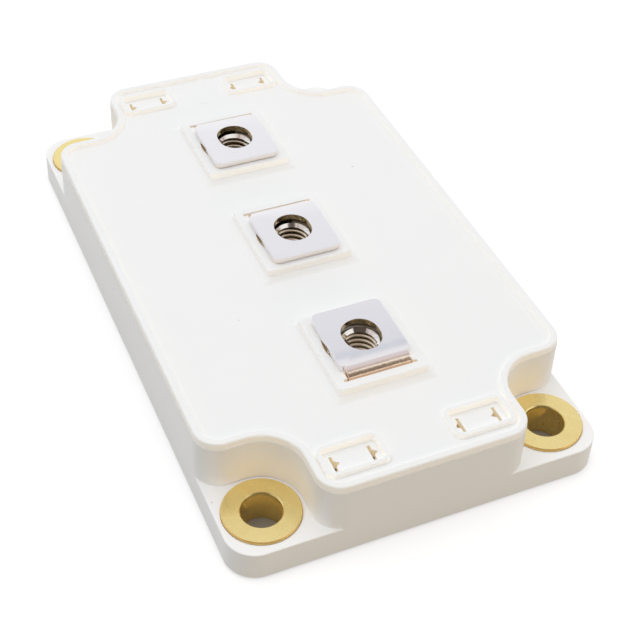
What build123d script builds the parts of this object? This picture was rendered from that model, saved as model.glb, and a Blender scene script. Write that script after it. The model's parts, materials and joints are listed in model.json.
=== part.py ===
import os
from math import cos, isclose, radians, tan

from build123d import *

# Footprint of the moulding and the heights of its main levels, with the heat sink face at zero
length = 108.0
width = 62.0
draft = 1.0
skirt_gap = 0.4
flange_top = 5.5
panel_top = 13.8
rim_height = 0.8
platform_rise = 1.85

# Screw holes, set in from the ends and the sides, with a corner notch round each
hole_inset_x = 7.5
hole_inset_y = 7.0
hole_r = 3.2
notch_r = 6.55
shoulder_r = 4.2
flange_corner_r = 5.0
flange_edge_r = 0.2

# Rim round the panel
rim_width = 1.2
rim_edge_r = 0.3
rim_foot_r = 0.45
band_height = 1.3
band_step = 0.1

# Hollow inside of the moulding
wall = 2.8
panel_thickness = 2.0
lip = 1.3

# Baseplate
plate_thickness = 3.0
plate_gap = 0.15
plate_corner_r = 4.0
plate_hole_gap = 0.1
cut_past = 1.0

# Bead of sealant between the plate and the ledge of the moulding
bead_width = 0.7
bead_height = 0.4
bead_inset = 0.35

# Brass eyelets
eyelet_head_clear = 0.45
eyelet_head_thickness = 1.2
eyelet_proud = 0.45
eyelet_edge = 0.15
eyelet_wall = 1.1
eyelet_gap = 0.05
eyelet_foot_gap = 0.1

# Terminal strips, the outer two set in from the ends
terminal_inset = 26.0
strip_thickness = 1.0
tab_gap = 0.15
tab_width = 12.0
tab_reach = 6.85
tab_corner_r = 1.2
shoulder_corner_r = 0.5
neck_width = 10.6
leg_offset = 6.85
bend_r = 1.4
foot_length = 4.6
tab_hole_length = 7.0
tab_hole_width = 6.2

# Pedestals under the tabs, with the slots for the legs
platform_end = 1.05
platform_side = 1.6
platform_height = 1.25
platform_corner_r = 0.5
platform_edge_r = 0.12
apron_reach = 1.2
slot_inner_clear = 0.5
slot_outer_clear = 0.25
slot_end_clear = 0.2
slot_side_clear = 0.2
slot_end_width = 0.55
slot_end_depth = 1.2
slot_wall = 1.4

# Captive nuts and what is open round them
nut_flats = 10.0
nut_height = 5.0
nut_thread_r = 2.5
nut_mouth = 0.55
nut_crown_inset = 0.1
nut_gap = 0.15
nut_sink = 0.35
pocket_clear = 0.53
pocket_depth = 1.5
screw_room_r = 3.4
screw_room_depth = 1.6
cup_wall = 1.45
cup_floor = 1.0

# Two-pin sockets near the ends of the panel
socket_end_clear = 2.85
socket_side_clear = 1.9
socket_length = 10.3
socket_width = 6.1
socket_corner_r = 1.4
socket_wall = 0.8
socket_depth = 1.25
socket_edge_r = 0.2
pin_pitch = 6.1
pin_slot_length = 2.9
pin_slot_width = 0.5
pin_notch = 0.75

# Marks of the mould's ejector pins on the panel
mark_depth = 0.08
marks = [(-42.3, -0.9, 2.2), (-13.0, -1.4, 1.5)]

# Substrates, which fit between the notches
substrate_clear = 0.15
substrate_side_clear = 5.2
substrate_gap = 2.0
copper_thickness = 0.3
ceramic_thickness = 0.6
copper_margin = 0.8
lead_pad_length = 11.0
field_gap = 1.2

# Dies, three side by side on each substrate, with room for a foot or a link behind them
die_room = 9.4
die_margin = 0.8
die_side_margin = 1.7
die_gap = 2.5
die_thickness = 0.4
die_rows = 3

# Clips from the dies to the next field
clip_width = 8.0
clip_thickness = 0.6
clip_rise = 1.0
clip_bend_r = 0.5
clip_far_inset = 2.0
clip_near_inset = 2.6
clip_slope = 1.1
clip_drop = 1.0
clip_landing = 0.5
clip_foot = 2.9

# Links between the substrates
link_y = 11.0
link_width = 8.0
link_landing = 0.6
link_slope = 1.0
link_foot = 2.2

# Gel, which ends under the nut cups
gel_clear = 0.75

# Heights that follow
rim_top = panel_top + rim_height
platform_top = panel_top + platform_rise
tab_top = platform_top + tab_gap + strip_thickness
socket_floor = rim_top - socket_depth
cavity_top = panel_top - panel_thickness
ceramic_bottom = plate_thickness + copper_thickness
field_bottom = ceramic_bottom + ceramic_thickness
field_top = field_bottom + copper_thickness
die_top = field_top + die_thickness
nut_top = platform_top - nut_sink
nut_bottom = nut_top - nut_height
room_bottom = nut_bottom - nut_gap - screw_room_depth
cup_bottom = room_bottom - cup_floor
gel_top = cup_bottom - gel_clear

# Places and widths that follow
hole_x = length / 2 - hole_inset_x
hole_y = width / 2 - hole_inset_y
terminal_x = length / 2 - terminal_inset
socket_x = length / 2 - socket_end_clear - socket_width / 2
socket_y = hole_y - notch_r - socket_side_clear - socket_length / 2
eyelet_head_r = notch_r - eyelet_head_clear
eyelet_sleeve_r = hole_r + eyelet_wall
slot_inner_x = leg_offset - strip_thickness / 2 - slot_inner_clear
slot_outer_x = leg_offset + strip_thickness / 2 + slot_outer_clear
platform_free_reach = tab_reach + platform_end
platform_bend_reach = slot_outer_x + slot_wall
platform_width = tab_width + 2 * platform_side
nut_corner_r = nut_flats / 2 / cos(radians(30))
nut_mouth_r = nut_thread_r + nut_mouth
pocket_r = nut_corner_r + pocket_clear
cup_r = nut_corner_r + nut_gap + cup_wall
substrate_inner = substrate_gap / 2
substrate_outer = hole_x - notch_r - wall - substrate_clear
substrate_edge = width / 2 - wall - substrate_side_clear
pad_edge = substrate_edge - copper_margin
die_pad_length = substrate_outer - substrate_inner - 2 * copper_margin - field_gap - lead_pad_length
die_length = die_pad_length - die_room - die_margin
die_width = (2 * pad_edge - 2 * die_side_margin - (die_rows - 1) * die_gap) / die_rows
corners = [(sx * hole_x, sy * hole_y) for sx in (-1, 1) for sy in (-1, 1)]

# The strips at the far end and in the middle bend down on their -X side, the near one on its +X side
terminals = [(-terminal_x, -1), (0.0, -1), (terminal_x, 1)]


def plate(size_x, size_y, corner_r, bottom, top, taper=0.0):
    """Rounded rectangular plate between two heights."""
    outline = RectangleRounded(size_x, size_y, corner_r)
    return extrude(Pos(0, 0, bottom) * outline, top - bottom, taper=taper)


def on_outline(vertex):
    """True for a corner that lies on one of the four long sides of the plan."""
    return isclose(abs(vertex.X), length / 2) or isclose(abs(vertex.Y), width / 2)


def body_plan(inset=0.0):
    """Plan of the tall body: a rectangle with a rounded notch round each screw hole."""
    notch_x = hole_inset_x + notch_r
    notch_y = hole_inset_y + notch_r
    plan = Rectangle(length, width)
    for sx in (-1, 1):
        for sy in (-1, 1):
            centre = Pos(sx * (length - notch_x) / 2, sy * (width - notch_y) / 2)
            plan -= centre * Rectangle(notch_x, notch_y)
    deepest = plan.vertices().filter_by(lambda v: not on_outline(v))
    plan = fillet(deepest, notch_r)
    plan = fillet(plan.vertices().filter_by(on_outline), shoulder_r)
    if inset:
        plan = offset(plan, amount=-inset)
    return plan


def block(x_low, x_high, y_low, y_high, z_low, z_high):
    """Box between two corners."""
    centre = Pos((x_low + x_high) / 2, (y_low + y_high) / 2, (z_low + z_high) / 2)
    return centre * Box(x_high - x_low, y_high - y_low, z_high - z_low)


def post(radius, bottom, top):
    """Upright cylinder on the origin."""
    return Pos(0, 0, bottom) * Cylinder(radius, top - bottom, align=(Align.CENTER, Align.CENTER, Align.MIN))


def hex_post(across_flats, bottom, top):
    """Upright hexagon with two flats across X."""
    outline = RegularPolygon(across_flats / 2, 6, major_radius=False, rotation=30)
    return extrude(Pos(0, 0, bottom) * outline, top - bottom)


def turned(points):
    """Solid turned about Z from a half section of (radius, height) points."""
    section = make_face(Polyline(*[(r, 0, z) for r, z in points], close=True))
    return revolve(section, Axis.Z)


def bent_strip(points, radius, thickness, strip_width):
    """Strip bent along (x, z) points of its middle line."""
    path = FilletPolyline(*[(x, 0, z) for x, z in points], radius=radius)
    section = Plane(origin=path @ 0, x_dir=(0, 1, 0), z_dir=path % 0) * Rectangle(strip_width, thickness)
    return sweep(section, path=path)


def make_shell():
    """Outside of the moulding: flange, body with its upper band, and the rim round the panel."""
    band_bottom = rim_top - band_height
    lean = tan(radians(draft))
    flange = plate(length, width, flange_corner_r, skirt_gap, flange_top, draft)
    flange = fillet(flange.edges().group_by(Axis.Z)[-1], flange_edge_r)
    body = extrude(Pos(0, 0, skirt_gap) * body_plan(), band_bottom - skirt_gap, taper=draft)
    band_inset = lean * (band_bottom - skirt_gap) + band_step
    band = extrude(Pos(0, 0, band_bottom) * body_plan(band_inset), band_height)
    recess = extrude(Pos(0, 0, panel_top) * body_plan(band_inset + rim_width), rim_height)
    band -= fillet(recess.edges().group_by(Axis.Z)[0], rim_foot_r)
    band = fillet(band.edges().group_by(Axis.Z)[-1], rim_edge_r)
    return flange + body + band


def make_pedestal():
    """Raised platform with its sloping apron, for a strip that bends down on the +X side."""
    size_x = platform_free_reach + platform_bend_reach
    apron_height = platform_top - platform_height - panel_top
    apron = RectangleRounded(size_x + 2 * apron_reach, platform_width + 2 * apron_reach, platform_corner_r)
    platform = RectangleRounded(size_x, platform_width, platform_corner_r)
    base = loft([Pos(0, 0, panel_top) * apron, Pos(0, 0, panel_top + apron_height) * platform])
    top = extrude(Pos(0, 0, panel_top + apron_height) * platform, platform_height)
    top = fillet(top.edges().group_by(Axis.Z)[-1], platform_edge_r)
    return Pos((platform_bend_reach - platform_free_reach) / 2, 0, 0) * (base + top)


def make_pocket():
    """Everything that is open under one tab, for a strip that bends down on the +X side."""
    pocket = post(pocket_r, platform_top - pocket_depth, platform_top)
    pocket += hex_post(nut_flats + 2 * nut_gap, nut_bottom - nut_gap, platform_top - pocket_depth)
    pocket += post(screw_room_r, room_bottom, nut_bottom)
    slot_side = neck_width / 2 + slot_side_clear
    slot_end = tab_width / 2 + slot_end_clear
    pocket += block(slot_inner_x, slot_outer_x, -slot_side, slot_side, cup_bottom, platform_top)
    pocket += block(slot_outer_x - slot_end_width, slot_outer_x, -slot_end, slot_end,
                    platform_top - slot_end_depth, platform_top)
    return pocket


def make_seat():
    """Raised ring round one socket, with both upper edges rounded."""
    ring = plate(socket_width, socket_length, socket_corner_r, panel_top, rim_top)
    ring -= make_well()
    return fillet(ring.edges().group_by(Axis.Z)[-1], socket_edge_r)


def make_well():
    """Room inside one socket, down to its floor."""
    inner_x = socket_width - 2 * socket_wall
    inner_y = socket_length - 2 * socket_wall
    return plate(inner_x, inner_y, socket_corner_r - socket_wall, socket_floor, rim_top)


def pin_slot():
    """Slot for one flat pin, with a pointed notch on its +Y side."""
    slot = Rectangle(pin_slot_length, pin_slot_width)
    point = pin_slot_width / 2 + pin_notch
    notch = Polyline((-pin_notch, 0), (pin_notch, 0), (0, point), close=True)
    return extrude(Pos(0, 0, cavity_top) * (slot + make_face(notch)), rim_top - cavity_top)


def make_housing():
    """One moulding, open underneath, with all that it holds cut to fit."""
    housing = make_shell()
    cups = []
    pockets = []
    for x, side in terminals:
        turn = Pos(x, 0, 0) * Rot(0, 0, 0 if side > 0 else 180)
        housing += turn * make_pedestal()
        pockets.append(turn * make_pocket())
        cups.append(Pos(x, 0, 0) * post(cup_r, cup_bottom, cavity_top))
    for sx in (-1, 1):
        for sy in (-1, 1):
            housing += Pos(sx * socket_x, sy * socket_y, 0) * make_seat()
    cavity = extrude(Pos(0, 0, plate_thickness) * body_plan(wall), cavity_top - plate_thickness)
    housing -= cavity - cups
    housing -= pockets
    recess_x = length - 2 * lip
    recess_y = width - 2 * lip
    housing -= plate(recess_x, recess_y, plate_corner_r + plate_gap, skirt_gap, plate_thickness)
    housing -= extrude(Pos(0, 0, plate_thickness) * bead_plan(), bead_height)
    head_bottom = flange_top + eyelet_proud - eyelet_head_thickness
    for x, y in corners:
        housing -= Pos(x, y, 0) * post(eyelet_head_r + eyelet_gap, head_bottom, flange_top)
        housing -= Pos(x, y, 0) * post(eyelet_sleeve_r + eyelet_gap, plate_thickness, head_bottom)
    for sx in (-1, 1):
        for sy in (-1, 1):
            seat = Pos(sx * socket_x, sy * socket_y, 0)
            housing -= seat * make_well()
            for pin in (-pin_pitch / 2, pin_pitch / 2):
                turn = Rot(0, 0, 180 if sy > 0 else 0)
                housing -= seat * Pos(0, pin, 0) * turn * pin_slot()
    for x, y, radius in marks:
        housing -= Pos(x, y, 0) * post(radius, panel_top - mark_depth, panel_top)
    return housing


def bead_plan():
    """Ring of the sealing bead, just outside the cavity."""
    return body_plan(wall - bead_inset - bead_width) - body_plan(wall - bead_inset)


def make_baseplate():
    """Flat plate with a round hole for each eyelet, whose cutter runs past both faces."""
    size_x = length - 2 * lip - 2 * plate_gap
    size_y = width - 2 * lip - 2 * plate_gap
    baseplate = plate(size_x, size_y, plate_corner_r, 0, plate_thickness)
    for x, y in corners:
        baseplate -= Pos(x, y, 0) * post(eyelet_sleeve_r + plate_hole_gap, -cut_past, plate_thickness + cut_past)
    return baseplate


def make_eyelet():
    """Brass eyelet: flat head on a sleeve that ends just short of the heat sink."""
    top = flange_top + eyelet_proud
    head_bottom = top - eyelet_head_thickness
    return turned([
        (hole_r, eyelet_foot_gap),
        (hole_r, top - eyelet_edge),
        (hole_r + eyelet_edge, top),
        (eyelet_head_r - eyelet_edge, top),
        (eyelet_head_r, top - eyelet_edge),
        (eyelet_head_r, head_bottom),
        (eyelet_sleeve_r, head_bottom),
        (eyelet_sleeve_r, eyelet_foot_gap),
    ])


def make_terminal():
    """Strip of one terminal, bent down on the +X side, with its foot under the tab."""
    tab_middle = tab_top - strip_thickness / 2
    foot_middle = field_top + strip_thickness / 2
    strip = bent_strip([(0, tab_middle), (leg_offset, tab_middle), (leg_offset, foot_middle),
                        (leg_offset - foot_length, foot_middle)], bend_r, strip_thickness, neck_width)
    shoulder = leg_offset - bend_r
    tab = Pos((shoulder - tab_reach) / 2, 0) * Rectangle(shoulder + tab_reach, tab_width)
    tab = fillet(tab.vertices().group_by(Axis.X)[0], tab_corner_r)
    tab = fillet(tab.vertices().group_by(Axis.X)[-1], shoulder_corner_r)
    strip += extrude(Pos(0, 0, tab_top - strip_thickness) * tab, strip_thickness)
    hole = SlotOverall(tab_hole_length, tab_hole_width)
    return strip - extrude(Pos(0, 0, tab_top - strip_thickness) * hole, strip_thickness)


def make_nut():
    """Hexagon nut with a plain bore and both mouths countersunk."""
    nut = hex_post(nut_flats, nut_bottom, nut_top)
    crown = nut_flats / 2 - nut_crown_inset
    drop = (nut_corner_r - crown) * tan(radians(30))
    nut &= turned([(0, nut_bottom), (crown, nut_bottom), (nut_corner_r, nut_bottom + drop),
                   (nut_corner_r, nut_top - drop), (crown, nut_top), (0, nut_top)])
    nut -= turned([(0, nut_bottom), (nut_mouth_r, nut_bottom), (nut_thread_r, nut_bottom + nut_mouth),
                   (nut_thread_r, nut_top - nut_mouth), (nut_mouth_r, nut_top), (0, nut_top)])
    return nut


def make_clip():
    """Copper clip from the top of a die to the next field, whose edge is at the origin."""
    low = field_top + clip_thickness / 2
    on_die = die_top + clip_thickness / 2
    high = low + clip_rise
    die_near = -field_gap - die_margin
    die_far = die_near - die_length
    step = die_near - clip_near_inset
    return bent_strip([(die_far + clip_far_inset, on_die), (step, on_die), (step + clip_slope, high),
                       (-clip_drop, high), (clip_landing, low), (clip_landing + clip_foot, low)],
                      clip_bend_r, clip_thickness, clip_width)


def make_link():
    """Copper link that bridges the gap between the two substrates."""
    low = field_top + clip_thickness / 2
    high = low + clip_thickness
    step = substrate_inner + copper_margin + link_landing
    reach = step + link_foot
    crest = step - link_slope
    return bent_strip([(-reach, low), (-step, low), (-crest, high), (crest, high), (step, low), (reach, low)],
                      clip_bend_r, clip_thickness, link_width)


def make_substrate(low_x, high_x):
    """Ceramic plate with its copper, the dies on one field and the clips over to the other."""
    pad_low = low_x + copper_margin
    pad_high = high_x - copper_margin
    lead_edge = pad_high - lead_pad_length
    die_edge = lead_edge - field_gap
    die_high = die_edge - die_margin
    stack = {
        "lower_copper": block(pad_low, pad_high, -pad_edge, pad_edge, plate_thickness, ceramic_bottom),
        "ceramic": block(low_x, high_x, -substrate_edge, substrate_edge, ceramic_bottom, field_bottom),
        "die_pad": block(pad_low, die_edge, -pad_edge, pad_edge, field_bottom, field_top),
        "lead_pad": block(lead_edge, pad_high, -pad_edge, pad_edge, field_bottom, field_top),
    }
    dies = []
    clips = []
    for row in range(die_rows):
        y = (row - (die_rows - 1) / 2) * (die_width + die_gap)
        dies.append(block(die_high - die_length, die_high, y - die_width / 2, y + die_width / 2,
                          field_top, die_top))
        clips.append(Pos(lead_edge, y, 0) * make_clip())
    return stack, dies, clips


nodes = {"housing": make_housing(), "baseplate": make_baseplate()}
nodes["seal_bead"] = extrude(Pos(0, 0, plate_thickness) * bead_plan(), bead_height)

for index, (x, y) in enumerate(corners, 1):
    nodes[f"bushing_{index}"] = Pos(x, y, 0) * make_eyelet()

for index, (x, side) in enumerate(terminals, 1):
    nodes[f"terminal_{index}"] = Pos(x, 0, 0) * Rot(0, 0, 0 if side > 0 else 180) * make_terminal()
    nodes[f"nut_{index}"] = Pos(x, 0, 0) * make_nut()

# Both substrates are laid the same way round, with the dies on their -X side
substrates = [(-substrate_outer, -substrate_inner), (substrate_inner, substrate_outer)]
for index, (low_x, high_x) in enumerate(substrates, 1):
    stack, dies, clips = make_substrate(low_x, high_x)
    for name, solid in stack.items():
        nodes[f"{name}_{index}"] = solid
    for row, (die, clip) in enumerate(zip(dies, clips), 1):
        number = (index - 1) * die_rows + row
        nodes[f"diode_{number}"] = die
        nodes[f"clip_{number}"] = clip

for index, side in enumerate((-1, 1), 1):
    nodes[f"link_{index}"] = Pos(0, side * link_y, 0) * make_link()

# The gel fills the lower part of the cavity round all that stands in it
gel = extrude(Pos(0, 0, plate_thickness) * body_plan(wall), gel_top - plate_thickness)
for name in list(nodes):
    if name.startswith(("lower", "ceramic", "die_pad", "lead_pad", "diode", "clip", "link", "terminal")):
        gel -= nodes[name]
nodes["gel_fill"] = gel

os.makedirs("parts", exist_ok=True)
for name, solid in nodes.items():
    export_step(solid, f"parts/{name}.step")
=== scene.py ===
import json
from math import pi, radians, tan

import bpy
from mathutils import Matrix, Quaternion, Vector


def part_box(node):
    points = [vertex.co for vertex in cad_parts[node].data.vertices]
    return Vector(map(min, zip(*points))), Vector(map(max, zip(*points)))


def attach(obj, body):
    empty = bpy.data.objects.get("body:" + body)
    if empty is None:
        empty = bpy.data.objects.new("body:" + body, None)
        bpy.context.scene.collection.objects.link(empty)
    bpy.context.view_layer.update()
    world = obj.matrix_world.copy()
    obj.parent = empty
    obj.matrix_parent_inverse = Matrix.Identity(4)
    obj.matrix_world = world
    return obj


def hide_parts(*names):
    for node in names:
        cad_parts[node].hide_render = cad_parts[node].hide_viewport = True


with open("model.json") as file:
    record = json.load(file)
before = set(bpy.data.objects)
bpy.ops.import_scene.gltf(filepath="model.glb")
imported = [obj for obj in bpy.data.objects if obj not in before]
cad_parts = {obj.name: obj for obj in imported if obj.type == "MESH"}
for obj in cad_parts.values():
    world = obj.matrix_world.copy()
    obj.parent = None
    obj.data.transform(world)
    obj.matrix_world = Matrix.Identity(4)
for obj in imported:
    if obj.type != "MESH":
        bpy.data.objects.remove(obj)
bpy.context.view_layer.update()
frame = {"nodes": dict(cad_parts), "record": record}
mm = 0.001

# Camera: where the lens stood over the module, the point of the panel it looked at, and its tilt
camera_place = Vector((159.77, -69.35, 159.78)) * mm
camera_target = Vector((19.87, -3.44, 13.8)) * mm
camera_roll = radians(2.75)
sensor_width = 36.0
image_width = 640
focal_pixels = 1321.9
focal_length = focal_pixels * sensor_width / image_width

# Screw holes and levels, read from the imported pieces
eyelet_low, eyelet_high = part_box("bushing_4")
hole_x = (eyelet_low.x + eyelet_high.x) / 2
hole_y = (eyelet_low.y + eyelet_high.y) / 2
eyelet_top = eyelet_high.z
eyelet_r = (eyelet_high.x - eyelet_low.x) / 2
hole_r = 3.2 * mm
terminal_x = (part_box("nut_3")[0].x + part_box("nut_3")[1].x) / 2
nut_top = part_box("nut_3")[1].z
tab_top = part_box("terminal_3")[1].z
tab_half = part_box("terminal_3")[1].y

# Places on the moulding that its finish follows, and the levels that bound its painted shade and the warm
# glow painted on it for light that comes through it
pedestal_x = 7.75 * mm
pedestal_y = 6.9 * mm
socket_x = 48.1 * mm
socket_y = 10.4 * mm
socket_half_x = 3.0 * mm
socket_half_y = 5.1 * mm
nut_gap_y = 5.4 * mm
leg_gap_x = 7.2 * mm
flange_low = 4.6 * mm
flange_high = 6.0 * mm
ledge_low = 13.2 * mm
ledge_high = 13.33 * mm
wall_light = (13.2 * mm, 13.5 * mm)
slot_light = (13.1 * mm, 13.3 * mm)
pocket_light = (14.9 * mm, 15.4 * mm)

# Light from all round, as a share of full white
ambient = 0.76

# Tabs: where each starts to ease down and how askew, where its bend starts, the slope there, and its edges
tab_ease = 3.2 * mm
tab_skew = 0.2
tab_bend = 5.45 * mm
tab_slope = 0.075
tab_edge_r = 0.2 * mm
tab_hole_reach = 3.7 * mm

# Cuts that let a tab ease down, how deep under its top the strip stays still, and over what height it moves
tab_cuts = 9
first_cut = 2.0 * mm
cut_step = 0.45 * mm
still_depth = 6.0 * mm
moving_height = 4.0 * mm

# M6 thread of the nuts
thread_pitch = 1.0 * mm
thread_minor_r = 2.5 * mm
thread_major_r = 3.0 * mm
mouth_r = 3.05 * mm
thread_start = 0.6 * mm
thread_steps = 64

# Hexagons of the nuts: how far inside the flats the crown starts, and how fine a turned cutter is
nut_crown_inset = 0.1 * mm
turn_steps = 96

# How far a cutter reaches past what it cuts, where it is tight and where it has room
just_past = 0.05 * mm
well_past = 0.5 * mm

# Points nearer than this are one point, and faces at less than this angle are smooth across their edge
same_point = 0.001 * mm
smooth_angle = radians(32)


class Value:
    """One output of a node, so that shader maths reads as arithmetic."""

    def __init__(self, nodes, socket):
        self.nodes = nodes
        self.socket = socket

    def maths(self, operation, *values, **settings):
        settings = {"operation": operation, **settings}
        return self.nodes.node("ShaderNodeMath", settings, dict(enumerate(values)))

    def __add__(self, other):
        return self.maths("ADD", self, other)

    __radd__ = __add__

    def __mul__(self, other):
        return self.maths("MULTIPLY", self, other)

    __rmul__ = __mul__

    def __sub__(self, other):
        return self.maths("SUBTRACT", self, other)

    def __rsub__(self, other):
        return self.maths("SUBTRACT", other, self)

    def __truediv__(self, other):
        return self.maths("DIVIDE", self, other)

    def __pow__(self, other):
        return self.maths("POWER", self, other)

    def __abs__(self):
        return self.maths("ABSOLUTE", self)

    def __lt__(self, other):
        return self.maths("LESS_THAN", self, other)

    def __gt__(self, other):
        return self.maths("GREATER_THAN", self, other)

    def sine(self):
        return self.maths("SINE", self)

    def diagonal(self, other):
        """The length across two sides at right angles."""
        return (self * self + other * other) ** 0.5

    def clamped(self):
        return self.maths("ADD", self, 0.0, use_clamp=True)

    def angle_to(self, other):
        """The angle, in turns, of the direction that has these two parts."""
        return self.maths("ARCTAN2", self, other) / (2 * pi)

    def between(self, low, high):
        """0 below low, 1 above high, and a smooth rise from one to the other."""
        return self.nodes.node("ShaderNodeMapRange", {"interpolation_type": "SMOOTHSTEP"},
                               {"Value": self, "From Min": low, "From Max": high})


class Nodes:
    """A node tree whose nodes are added one call at a time."""

    def __init__(self, owner):
        owner.use_nodes = True
        self.tree = owner.node_tree

    def put(self, socket, value):
        """Sets a socket to a value, or links it to a Value."""
        if isinstance(value, Value):
            self.tree.links.new(value.socket, socket)
        else:
            socket.default_value = value

    def node(self, kind, settings=None, inputs=None, output=0):
        """Adds a node: its settings first, a ramp's stops among them, then what its sockets take."""
        made = self.tree.nodes.new(kind)
        for setting, value in (settings or {}).items():
            if setting == "stops":
                self.set_stops(made.color_ramp.elements, value)
            else:
                setattr(made, setting, value)
        for socket, value in (inputs or {}).items():
            self.put(made.inputs[socket], value)
        return Value(self, made.outputs[output])

    def set_stops(self, points, stops):
        """Sets the points of a ramp to (position, colour) stops."""
        while len(points) < len(stops):
            points.new(0.5)
        for point, (position, tone) in zip(points, stops):
            point.position = position
            point.color = tone

    def ray(self, kind):
        """1 for one kind of ray: Camera, Glossy or Transmission."""
        return self.node("ShaderNodeLightPath", output=f"Is {kind} Ray")

    def seen_directly(self):
        """1 for what the camera, a reflection or a clear piece sees, and 0 for what only lights."""
        return (self.ray("Camera") + self.ray("Glossy") + self.ray("Transmission")).clamped()

    def part(self, vector, axis):
        """The X, Y or Z part of a vector."""
        return self.node("ShaderNodeSeparateXYZ", inputs={0: vector}, output=axis)

    def from_hole(self, x, y):
        """How far a place is from the middle of the nearest screw hole."""
        return (abs(x) - hole_x).diagonal(abs(y) - hole_y)

    def blend(self, factor, first, second):
        """Mixes two colours."""
        return self.node("ShaderNodeMix", {"data_type": "RGBA"}, {0: factor, 6: first, 7: second}, output=2)

    def ramp(self, factor, stops):
        """A colour that changes along the factor, from (position, colour) stops."""
        return self.node("ShaderNodeValToRGB", {"stops": stops}, {"Fac": factor}, output="Color")


class Finish(Nodes):
    """A material for one kind of piece, painted on its place on the object."""

    def __init__(self, name, **uniform):
        self.material = bpy.data.materials.new(name)
        super().__init__(self.material)
        self.shader = self.tree.nodes["Principled BSDF"]
        self.paint(**uniform)

    def place(self):
        """The place on the object in metres, as a vector."""
        return self.node("ShaderNodeTexCoord", output="Object")

    def coordinates(self):
        """The place on the object, as a vector and as x, y and z."""
        place = self.place()
        return place, *[self.part(place, axis) for axis in "XYZ"]

    def off_terminal(self, x):
        """How far along the object a place is from the nearest terminal's middle."""
        off_middle = abs(x)
        off_side = abs(off_middle - terminal_x)
        return off_side + (off_middle - off_side) * (off_middle < terminal_x / 2)

    def facing(self):
        """The way that a face points."""
        return self.node("ShaderNodeNewGeometry", output="Normal")

    def upright(self):
        """1 on walls and 0 on level faces."""
        return 1 - abs(self.part(self.facing(), "Z"))

    def inward(self, place):
        """1 on walls that face the middle of the object."""
        sides = {0: place, 1: self.facing()}
        return self.node("ShaderNodeVectorMath", {"operation": "DOT_PRODUCT"}, sides, output="Value") < 0

    def stretched(self, place, scale):
        return self.node("ShaderNodeVectorMath", {"operation": "MULTIPLY"}, {0: place, 1: scale})

    def noise(self, place, scale, detail=2.0, roughness=0.5):
        return self.node("ShaderNodeTexNoise", inputs={"Vector": place, "Scale": scale, "Detail": detail,
                                                       "Roughness": roughness})

    def bump(self, height, distance, strength=1.0, under=None):
        inputs = {"Height": height, "Distance": distance, "Strength": strength}
        if under:
            inputs["Normal"] = under
        return self.node("ShaderNodeBump", inputs=inputs)

    def paint(self, **sockets):
        for socket, value in sockets.items():
            self.put(self.shader.inputs[socket.replace("_", " ")], value)
        return self.material


def colour(red, green, blue):
    return (red, green, blue, 1.0)


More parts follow.
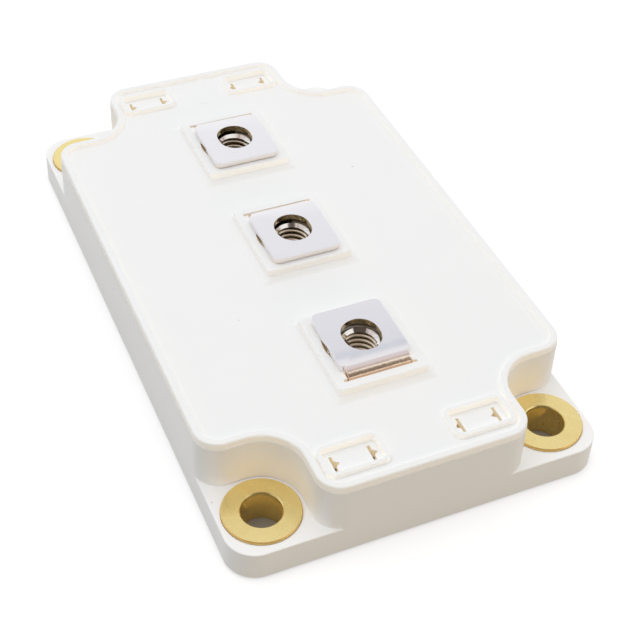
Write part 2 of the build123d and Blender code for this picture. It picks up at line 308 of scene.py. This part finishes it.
def moulding_finish():
    """Off-white moulded plastic: grain, sink waves, a few specks, painted warm shade in its pockets and
    slots, and a painted warm glow for light through its thin walls, on its flange and under its tabs.
    """
    finish = Finish("moulding", IOR=1.5, Specular_IOR_Level=0.5, Emission_Strength=1.0)
    place, x, y, z = finish.coordinates()
    mottle = finish.noise(place, 120.0, 4.0, 0.6)
    shell = finish.blend(mottle, colour(0.880, 0.882, 0.880), colour(0.900, 0.902, 0.900))
    cells = {"Vector": place, "Scale": 260.0}
    from_cell = finish.node("ShaderNodeTexVoronoi", inputs=cells)
    cell_random = finish.node("ShaderNodeSeparateColor",
                              inputs={0: finish.node("ShaderNodeTexVoronoi", inputs=cells, output=1)})
    specks = (from_cell < 0.07) * (cell_random > 0.93)
    shell = finish.blend(specks * 0.35, shell, colour(0.45, 0.38, 0.30))
    off_terminal = finish.off_terminal(x)
    at_terminals = (off_terminal < pedestal_x) * (abs(y) < pedestal_y)
    at_sockets = (abs(abs(x) - socket_x) < socket_half_x) * (abs(abs(y) - socket_y) < socket_half_y)
    in_pocket = at_terminals * (1 - z.between(*pocket_light))
    in_slot = at_sockets * (1 - z.between(*slot_light))
    by_the_gaps = abs(y) > nut_gap_y
    by_the_leg = (off_terminal > leg_gap_x) * (1 - by_the_gaps)
    upright = finish.upright()
    thin_walls = upright * z.between(*wall_light) * (1 - in_pocket)
    on_ledge = (1 - upright) * (z > ledge_low) * (z < ledge_high)
    on_flange = (1 - upright) * (z > flange_low) * (z < flange_high)
    beside_tab = abs(y).between(tab_half - 0.2 * mm, tab_half + 0.5 * mm)
    before_tab = off_terminal.between(tab_half + 0.2 * mm, tab_half + 0.9 * mm)
    under_tab = (1 - beside_tab) * (1 - before_tab) * (1 - upright) * z.between(*pocket_light)
    # Painted warm shade: the nut pockets and pin slots are tinted brown where shade falls in them.
    shell = finish.blend((in_pocket + in_slot) * 0.8, shell, colour(0.83, 0.73, 0.55))
    shell = finish.blend(on_ledge * 0.4, shell, colour(0.62, 0.57, 0.49))
    # Painted light: a warm glow in the emission for light through the thin walls and inside walls, on the
    # flange top and in the shade under the tabs.
    through = finish.blend(thin_walls, colour(0.0, 0.0, 0.0), colour(0.110, 0.093, 0.066))
    inside_walls = (at_sockets + finish.inward(place) * (1 - at_terminals)).clamped()
    through = finish.blend(thin_walls * inside_walls, through, colour(0.20, 0.175, 0.13))
    through = finish.blend(on_flange, through, colour(0.036, 0.034, 0.030))
    through = finish.blend(under_tab, through, colour(0.11, 0.088, 0.056))
    # Painted light: a brown and a pale warm glow in the nut pockets by the gaps and by the legs, and a warm
    # glow in the pin slots.
    through = finish.blend(in_pocket, through, colour(0.0, 0.0, 0.0))
    through = finish.blend(in_pocket * by_the_gaps, through, colour(0.15, 0.095, 0.030))
    through = finish.blend(in_pocket * by_the_leg, through, colour(0.36, 0.31, 0.23))
    through = finish.blend(in_slot, through, colour(0.16, 0.13, 0.08))
    grain = finish.noise(place, 2600.0, 3.0, 0.6)
    waves = finish.noise(place, 70.0, 1.0)
    relief = finish.bump(waves, 0.05 * mm, 0.5)
    relief = finish.bump(grain, 0.012 * mm, 0.5, relief)
    return finish.paint(Base_Color=shell, Roughness=0.30 + mottle * 0.12, Emission_Color=through,
                        Normal=relief)


def brass_finish():
    """Turned brass: fine rings round each screw hole, a little tarnish, painted shade down its bore, and a
    painted orange reflection on its top edge.
    """
    finish = Finish("turned_brass")
    place, x, y, z = finish.coordinates()
    radius = finish.from_hole(x, y)
    rings = (radius * (2 * pi / (0.16 * mm))).sine()
    uneven = finish.noise(place, 900.0, 3.0)
    tarnish = finish.noise(place, 260.0, 4.0, 0.6).between(0.45, 0.75)
    bright = finish.blend(tarnish * 0.3, colour(0.94, 0.79, 0.36), colour(0.86, 0.67, 0.27))
    # Painted shade: down the bore the brass is painted darker, more saturated and less metallic.
    down_the_bore = (radius < hole_r + 0.1 * mm) * (1 - z.between(eyelet_top - 1.0 * mm, eyelet_top))
    bright = finish.blend(down_the_bore * 0.7, bright, colour(0.74, 0.54, 0.16))
    # Painted reflection: the top outer edge is painted orange and less metallic, for the plastic mirrored
    # in it.
    painted_orange_edge = (radius > eyelet_r - 0.15 * mm) * (z > eyelet_top - 0.3 * mm)
    painted_orange_edge = painted_orange_edge * finish.upright().between(0.1, 0.4)
    bright = finish.blend(painted_orange_edge, bright, colour(0.72, 0.40, 0.10))
    relief = finish.bump(rings, 0.004 * mm, 0.8)
    relief = finish.bump(uneven, 0.004 * mm, 0.15, relief)
    return finish.paint(Base_Color=bright, Metallic=1 - painted_orange_edge * 0.8 - down_the_bore * 0.3,
                        Roughness=0.26 + tarnish * 0.06, Normal=relief)


def strip_finish():
    """Plated strip: bright, with hairline scratches, rough skin and a painted warm reflection on the bends,
    a painted bronze reflection low on the near bend, and copper in the punched holes, painted darker there
    as a reflection of the nut."""
    finish = Finish("plated_strip")
    place, x, y, z = finish.coordinates()
    from_terminal = finish.off_terminal(x)
    bent = from_terminal.between(tab_bend, tab_bend + 0.6 * mm)
    bent = bent * (1 - z.between(tab_top - 0.35 * mm, tab_top - 0.15 * mm))
    rolled = finish.noise(finish.stretched(place, (300.0, 6000.0, 3000.0)), 1.0, 3.0)
    skin = finish.noise(finish.stretched(place, (2600.0, 1500.0, 2600.0)), 1.0, 2.0)
    patches = finish.noise(place, 240.0, 3.0, 0.6)
    hairs = finish.noise(finish.stretched(place, (5200.0, 420.0, 900.0)), 1.0, 1.0).between(0.66, 0.74)
    silver = finish.blend(patches, colour(0.86, 0.85, 0.88), colour(0.89, 0.88, 0.91))
    # Painted reflection: the bends and legs are painted warmer, for the warm surroundings mirrored there.
    silver = finish.blend(bent, silver, colour(0.92, 0.85, 0.79))
    # Painted reflection: low on the near bend the strip is painted bronze and less metallic, for the brown
    # card mirrored there.
    painted_bronze_bend = bent * (x > terminal_x) * (1 - z.between(tab_top - 0.75 * mm, tab_top - 0.4 * mm))
    silver = finish.blend(painted_bronze_bend, silver, colour(0.88, 0.69, 0.54))
    # The punched hole walls show copper, and are also painted darker and browner as a painted reflection of
    # the nut below.
    punched = finish.upright().between(0.5, 0.9) * (from_terminal.diagonal(y) < tab_hole_reach)
    silver = finish.blend(punched, silver, colour(0.66, 0.57, 0.38))
    relief = finish.bump(rolled - hairs * 0.6, 0.002 * mm, 0.7)
    relief = finish.bump(skin * bent, 0.02 * mm, 0.8, relief)
    return finish.paint(Base_Color=silver, Metallic=1 - painted_bronze_bend * 0.18, Roughness=0.12 + patches * 0.06,
                        Normal=relief)


def nut_finish():
    """Plated steel nut: bright on its faces, yellowish in the thread, with painted brown shade and a
    rougher surface in its valleys.
    """
    finish = Finish("nut_steel", Metallic=1.0)
    place, x, y, z = finish.coordinates()
    radius = finish.off_terminal(x).diagonal(y)
    threaded = z < nut_top - thread_start
    # Painted shade: the valleys of the thread are painted dark brown.
    valley = radius.between(thread_minor_r + 0.05 * mm, thread_major_r - 0.05 * mm)
    valley = valley * (radius < thread_major_r + 0.1 * mm) * threaded
    patches = finish.noise(place, 700.0, 3.0, 0.6)
    steel = finish.blend(patches, colour(0.80, 0.78, 0.76), colour(0.88, 0.87, 0.86))
    in_thread = (radius < thread_major_r - 0.1 * mm) * threaded
    steel = finish.blend(in_thread * 0.6, steel, colour(0.70, 0.62, 0.44))
    steel = finish.blend(valley * 0.75, steel, colour(0.42, 0.32, 0.20))
    relief = finish.bump(finish.noise(place, 3200.0, 2.0), 0.004 * mm, 0.6)
    return finish.paint(Base_Color=steel, Roughness=0.06 + valley * 0.2 + patches * 0.04, Normal=relief)


def base_finish():
    """Nickel-plated copper plate: ground flat, with fine lines along its length."""
    finish = Finish("plated_copper", Metallic=1.0)
    place = finish.place()
    ground = finish.noise(finish.stretched(place, (120.0, 5200.0, 5200.0)), 1.0, 3.0)
    patches = finish.noise(place, 60.0, 4.0, 0.6)
    nickel = finish.blend(patches, colour(0.66, 0.64, 0.60), colour(0.74, 0.72, 0.68))
    relief = finish.bump(ground, 0.003 * mm, 0.8)
    return finish.paint(Base_Color=nickel, Roughness=0.26 + ground * 0.14, Normal=relief)


def copper_finish():
    """Bare copper of the substrates, clips and links, lightly oxidised."""
    finish = Finish("bare_copper", Metallic=1.0)
    place = finish.place()
    oxide = finish.noise(place, 320.0, 5.0, 0.65)
    metal = finish.blend(oxide, colour(0.82, 0.46, 0.33), colour(0.62, 0.30, 0.20))
    relief = finish.bump(finish.noise(place, 2400.0, 3.0), 0.004 * mm, 0.7)
    return finish.paint(Base_Color=metal, Roughness=0.28 + oxide * 0.20, Normal=relief)


def ceramic_finish():
    """White fired alumina with a fine matt grain."""
    finish = Finish("alumina", IOR=1.7)
    place = finish.place()
    grain = finish.noise(place, 3000.0, 4.0, 0.7)
    fired = finish.blend(grain, colour(0.84, 0.84, 0.83), colour(0.90, 0.90, 0.89))
    relief = finish.bump(grain, 0.006 * mm, 0.6)
    return finish.paint(Base_Color=fired, Roughness=0.55 + grain * 0.15, Normal=relief)


def silicon_finish():
    """Dies: dark silicon with a satin metallised face."""
    finish = Finish("silicon", Metallic=0.7)
    place = finish.place()
    cloud = finish.noise(place, 500.0, 3.0)
    die = finish.blend(cloud, colour(0.20, 0.21, 0.25), colour(0.29, 0.30, 0.34))
    relief = finish.bump(cloud, 0.002 * mm, 0.5)
    return finish.paint(Base_Color=die, Roughness=0.25 + cloud * 0.15, Normal=relief)


def sealant_finish():
    """Grey silicone bead, slightly lumpy."""
    finish = Finish("sealant", IOR=1.41)
    place = finish.place()
    lumps = finish.noise(place, 420.0, 3.0, 0.6)
    silicone = finish.blend(lumps, colour(0.70, 0.70, 0.69), colour(0.78, 0.78, 0.77))
    relief = finish.bump(lumps, 0.06 * mm, 0.6)
    return finish.paint(Base_Color=silicone, Roughness=0.40 + lumps * 0.15, Normal=relief)


def gel_finish():
    """Clear soft silicone gel with a skin that isn't quite flat."""
    finish = Finish("gel", IOR=1.41, Transmission_Weight=0.85)
    place = finish.place()
    ripple = finish.noise(place, 160.0, 2.0)
    clear = finish.blend(ripple, colour(0.86, 0.87, 0.85), colour(0.91, 0.92, 0.90))
    relief = finish.bump(ripple, 0.08 * mm, 0.5)
    return finish.paint(Base_Color=clear, Roughness=0.06 + ripple * 0.08, Normal=relief)


def deselect_all():
    bpy.ops.object.select_all(action="DESELECT")


def add_modifier(piece, kind, **settings):
    """Adds a modifier to a piece and applies it."""
    bpy.context.view_layer.objects.active = piece
    modifier = piece.modifiers.new(kind.lower(), kind)
    for setting, value in settings.items():
        setattr(modifier, setting, value)
    bpy.ops.object.modifier_apply(modifier=modifier.name)


def cut_with(piece, tool, operation="DIFFERENCE"):
    """Cuts a piece with a tool, which is then thrown away."""
    add_modifier(piece, "BOOLEAN", operation=operation, object=tool, solver="EXACT")
    bpy.data.objects.remove(tool)


def turned_piece(name, points):
    """Closed solid turned about Z from (radius, height) points that start and end on the axis."""
    mesh = bpy.data.meshes.new(name)
    edges = [(i, i + 1) for i in range(len(points) - 1)]
    mesh.from_pydata([(r, 0, z) for r, z in points], edges, [])
    piece = bpy.data.objects.new(name, mesh)
    bpy.context.scene.collection.objects.link(piece)
    add_modifier(piece, "SCREW", axis="Z", steps=turn_steps, render_steps=turn_steps, angle=2 * pi,
                 use_merge_vertices=True, merge_threshold=same_point, use_normal_calculate=True)
    tidy_mesh(piece)
    return piece


def tidy_mesh(piece):
    """Merges doubles and turns the faces outwards."""
    deselect_all()
    piece.select_set(True)
    bpy.context.view_layer.objects.active = piece
    bpy.ops.object.mode_set(mode="EDIT")
    bpy.ops.mesh.select_all(action="SELECT")
    bpy.ops.mesh.remove_doubles(threshold=same_point)
    bpy.ops.mesh.normals_make_consistent(inside=False)
    bpy.ops.object.mode_set(mode="OBJECT")


def make_tap(bottom, top):
    """Solid with the shape of the thread's inside, longer than the nut at both ends."""
    flat = thread_pitch / 8
    flank = (thread_pitch - 3 * flat) / 2
    start = bottom - 2 * thread_pitch
    profile = [(thread_minor_r, 0), (thread_minor_r, 2 * flat), (thread_major_r, 2 * flat + flank),
               (thread_major_r, 3 * flat + flank), (thread_minor_r, thread_pitch)]
    mesh = bpy.data.meshes.new("tap")
    mesh.from_pydata([(r, 0, start + z) for r, z in profile], [(i, i + 1) for i in range(4)], [])
    tap = bpy.data.objects.new("tap", mesh)
    bpy.context.scene.collection.objects.link(tap)
    turns = round((top - bottom) / thread_pitch) + 4
    add_modifier(tap, "SCREW", axis="Z", steps=thread_steps, render_steps=thread_steps, angle=2 * pi,
                 screw_offset=thread_pitch, iterations=turns, use_normal_calculate=True)
    tidy_mesh(tap)
    for height, direction in ((bottom - 0.5 * thread_pitch, -1), (top + 0.5 * thread_pitch, 1)):
        bpy.ops.object.mode_set(mode="EDIT")
        bpy.ops.mesh.select_all(action="SELECT")
        bpy.ops.mesh.bisect(plane_co=(0, 0, height), plane_no=(0, 0, direction), use_fill=True,
                            clear_outer=True)
        bpy.ops.object.mode_set(mode="OBJECT")
    tidy_mesh(tap)
    return tap


def make_nut(node):
    """Hexagon nut with crowned corners, countersunk mouths and a real helical thread."""
    low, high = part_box(node)
    middle = (low + high) / 2
    height = high.z - low.z
    corner_r = (high.y - low.y) / 2
    crown_r = (high.x - low.x) / 2 - nut_crown_inset
    deselect_all()
    bpy.ops.mesh.primitive_cylinder_add(vertices=6, radius=corner_r, depth=height,
                                        location=(0, 0, height / 2))
    nut = bpy.context.object
    nut.name = f"threaded_{node}"
    bpy.ops.object.transform_apply(location=True, rotation=True, scale=True)
    drop = (corner_r - crown_r) * tan(radians(30))
    out_r = corner_r + just_past
    rise = drop * (out_r - crown_r) / (corner_r - crown_r)
    crown = turned_piece("crown", [(0, 0), (crown_r, 0), (out_r, rise), (out_r, height - rise),
                                   (crown_r, height), (0, height)])
    cut_with(nut, crown, "INTERSECT")
    cut_with(nut, make_tap(0, height))
    deep = mouth_r - thread_minor_r
    for face, way in ((0, 1), (height, -1)):
        outer = face - way * well_past
        inner = face + way * deep
        sink = turned_piece("sink", [(0, outer), (mouth_r + well_past, outer), (thread_minor_r, inner),
                                     (0, inner)])
        cut_with(nut, sink)
    nut.data.transform(Matrix.Translation((middle.x, middle.y, low.z)))
    tidy_mesh(nut)
    bpy.ops.object.shade_smooth_by_angle(angle=smooth_angle)
    return nut


def make_terminal(node):
    """Bent strip with rolled edges, whose tab eases down a little before its bend."""
    deselect_all()
    terminal = bpy.data.objects.new(f"rolled_{node}", frame["nodes"][node].data.copy())
    bpy.context.scene.collection.objects.link(terminal)
    terminal.data.materials.clear()
    tidy_mesh(terminal)
    low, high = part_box(node)
    nut_low, nut_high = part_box(node.replace("terminal", "nut"))
    middle = (nut_low.x + nut_high.x) / 2
    bend_side = 1 if high.x - middle > middle - low.x else -1
    bpy.ops.object.mode_set(mode="EDIT")
    bpy.ops.mesh.select_all(action="SELECT")
    bpy.ops.mesh.dissolve_limited(angle_limit=radians(0.5))
    for step in range(tab_cuts):
        cut = middle + bend_side * (first_cut + cut_step * step)
        bpy.ops.mesh.select_all(action="SELECT")
        bpy.ops.mesh.bisect(plane_co=(cut, 0, 0), plane_no=(1, 0, 0))
    bpy.ops.object.mode_set(mode="OBJECT")
    still_level = high.z - still_depth
    for corner in terminal.data.vertices:
        out = (corner.co.x - middle) * bend_side
        start = tab_ease + tab_skew * corner.co.y * bend_side
        eased = min(max(out - start, 0.0), tab_bend - start)
        fade = min(max((corner.co.z - still_level) / moving_height, 0.0), 1.0)
        drop = eased * eased / (2 * (tab_bend - start)) + max(out - tab_bend, 0.0)
        corner.co.z -= tab_slope * drop * fade
    bpy.ops.object.shade_smooth_by_angle(angle=smooth_angle)
    add_modifier(terminal, "BEVEL", width=tab_edge_r, segments=3, limit_method="ANGLE",
                 angle_limit=radians(40), harden_normals=True)
    return terminal


def add_lamp(name, place, target, width, depth, power, tint):
    """Rectangular soft box that faces a point and isn't mirrored in the metal."""
    lamp = bpy.data.lights.new(name, "AREA")
    lamp.shape = "RECTANGLE"
    lamp.size = width
    lamp.size_y = depth
    lamp.energy = power
    lamp.color = tint
    holder = bpy.data.objects.new(name, lamp)
    bpy.context.scene.collection.objects.link(holder)
    holder.location = place
    holder.rotation_euler = (Vector(target) - Vector(place)).to_track_quat("-Z", "Y").to_euler()
    holder.visible_camera = False
    holder.visible_glossy = False


def light_eyelets():
    """Warm light that each eyelet throws on the wall of its notch."""
    for x_side in (-1, 1):
        for y_side in (-1, 1):
            eyelet = Vector((x_side * hole_x, y_side * hole_y, eyelet_top + 0.1 * mm))
            wall = Vector((x_side * (hole_x - 9 * mm), y_side * (hole_y - 9 * mm), eyelet_top + 5 * mm))
            add_lamp("brass_glow", eyelet, wall, width=8 * mm, depth=5 * mm, power=0.00014,
                     tint=(1.0, 0.66, 0.16))


def make_floor():
    """Plain pale floor that looks white and keeps the module's shadow."""
    deselect_all()
    bpy.ops.mesh.primitive_plane_add(size=4.0, location=(0, 0, 0))
    floor = bpy.context.object
    floor.name = "floor"
    material = bpy.data.materials.new("floor")
    nodes = Nodes(material)
    plain = nodes.node("ShaderNodeBsdfDiffuse", inputs={"Color": colour(0.33, 0.31, 0.27)})
    pale = nodes.node("ShaderNodeBsdfDiffuse", inputs={"Color": colour(0.62, 0.62, 0.62)})
    spot = nodes.node("ShaderNodeTexCoord", output="Object")
    off_the_holes = nodes.from_hole(nodes.part(spot, "X"), nodes.part(spot, "Y")) > 1.5 * hole_r
    lift = nodes.node("ShaderNodeEmission", inputs={"Strength": 0.50})
    lifted = nodes.node("ShaderNodeAddShader", inputs={0: pale, 1: lift})
    surface = nodes.node("ShaderNodeMixShader",
                         inputs={0: nodes.seen_directly() * off_the_holes, 1: plain, 2: lifted})
    nodes.put(nodes.tree.nodes["Material Output"].inputs["Surface"], surface)
    floor.data.materials.append(material)


def make_card():
    """Dark brown card behind the camera, which shows in the near bend and in the mouths of the nuts."""
    deselect_all()
    bpy.ops.mesh.primitive_plane_add(size=1.0, location=(0, 0, 0))
    card = bpy.context.object
    card.name = "brown_card"
    size = Matrix.Diagonal((0.60, 1.16, 1.0, 1.0))
    raised = Matrix.Rotation(radians(90), 4, "Y")
    away = Matrix.Translation((0.60, 0, 0.50))
    turned = Matrix.Rotation(radians(-18), 4, "Z")
    card.data.transform(turned @ away @ raised @ size)
    card.visible_camera = False
    material = bpy.data.materials.new("brown_card")
    nodes = Nodes(material)
    matt = nodes.tree.nodes["Principled BSDF"].inputs
    nodes.put(matt["Base Color"], colour(0.08, 0.055, 0.040))
    nodes.put(matt["Roughness"], 0.8)
    card.data.materials.append(material)


def make_world():
    """White studio: even light from all round, and the room as the metal shows it, from the back over the
    ceiling to the camera's side."""
    world = bpy.data.worlds.new("studio")
    bpy.context.scene.world = world
    nodes = Nodes(world)
    way = nodes.node("ShaderNodeTexCoord", output="Generated")
    over_the_top = nodes.part(way, "Z").angle_to(0 - nodes.part(way, "X")) * 2
    room = nodes.ramp(over_the_top, [
        (0.170, colour(1.00, 1.00, 1.00)),
        (0.235, colour(0.90, 0.90, 0.91)),
        (0.268, colour(0.85, 0.85, 0.87)),
        (0.277, colour(0.55, 0.57, 0.65)),
        (0.286, colour(0.57, 0.59, 0.66)),
        (0.300, colour(1.00, 0.99, 0.97)),
        (0.400, colour(0.76, 0.69, 0.67)),
        (0.560, colour(0.74, 0.65, 0.63)),
        (0.620, colour(0.46, 0.36, 0.33)),
        (0.700, colour(1.00, 0.98, 0.93)),
    ])
    seen = nodes.blend(nodes.ray("Glossy"), colour(1.0, 1.0, 1.0), room)
    light = nodes.blend(nodes.seen_directly(), colour(ambient, ambient, ambient), seen)
    nodes.put(nodes.tree.nodes["Background"].inputs["Color"], light)


def make_camera():
    camera = bpy.data.cameras.new("camera")
    camera.sensor_width = sensor_width
    camera.lens = focal_length
    camera.clip_start = 0.01
    holder = bpy.data.objects.new("camera", camera)
    bpy.context.scene.collection.objects.link(holder)
    holder.location = camera_place
    look = (camera_target - camera_place).to_track_quat("-Z", "Y")
    holder.rotation_mode = "QUATERNION"
    holder.rotation_quaternion = look @ Quaternion((0, 0, 1), camera_roll)
    bpy.context.scene.camera = holder


bpy.context.scene.view_settings.view_transform = "Standard"
make_camera()
make_floor()
make_card()
make_world()
add_lamp("overhead", (-0.05, -0.12, 0.80), (0, 0, 0), width=1.0, depth=1.0, power=3.0,
         tint=(0.94, 0.97, 1.0))
add_lamp("warm_fill", (0.55, 0.10, 0.12), (0, 0, 0.01), width=0.3, depth=0.2, power=0.42,
         tint=(1.0, 0.70, 0.30))
light_eyelets()

finishes = {
    "moulding": moulding_finish(),
    "brass": brass_finish(),
    "plated_strip": strip_finish(),
    "plated_steel": nut_finish(),
    "plated_copper": base_finish(),
    "bare_copper": copper_finish(),
    "ceramic": ceramic_finish(),
    "silicon": silicon_finish(),
    "sealant": sealant_finish(),
    "gel": gel_finish(),
}
slots = {part["node"]: part["material_slot"] for part in frame["record"]["subparts"]}
for node, piece in frame["nodes"].items():
    piece.data.materials.clear()
    piece.data.materials.append(finishes[slots[node]])

for number in (1, 2, 3):
    for node, make in ((f"nut_{number}", make_nut), (f"terminal_{number}", make_terminal)):
        piece = make(node)
        slot = slots[node]
        piece.data.materials.append(finishes[slot])
        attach(piece, "root")
        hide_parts(node)
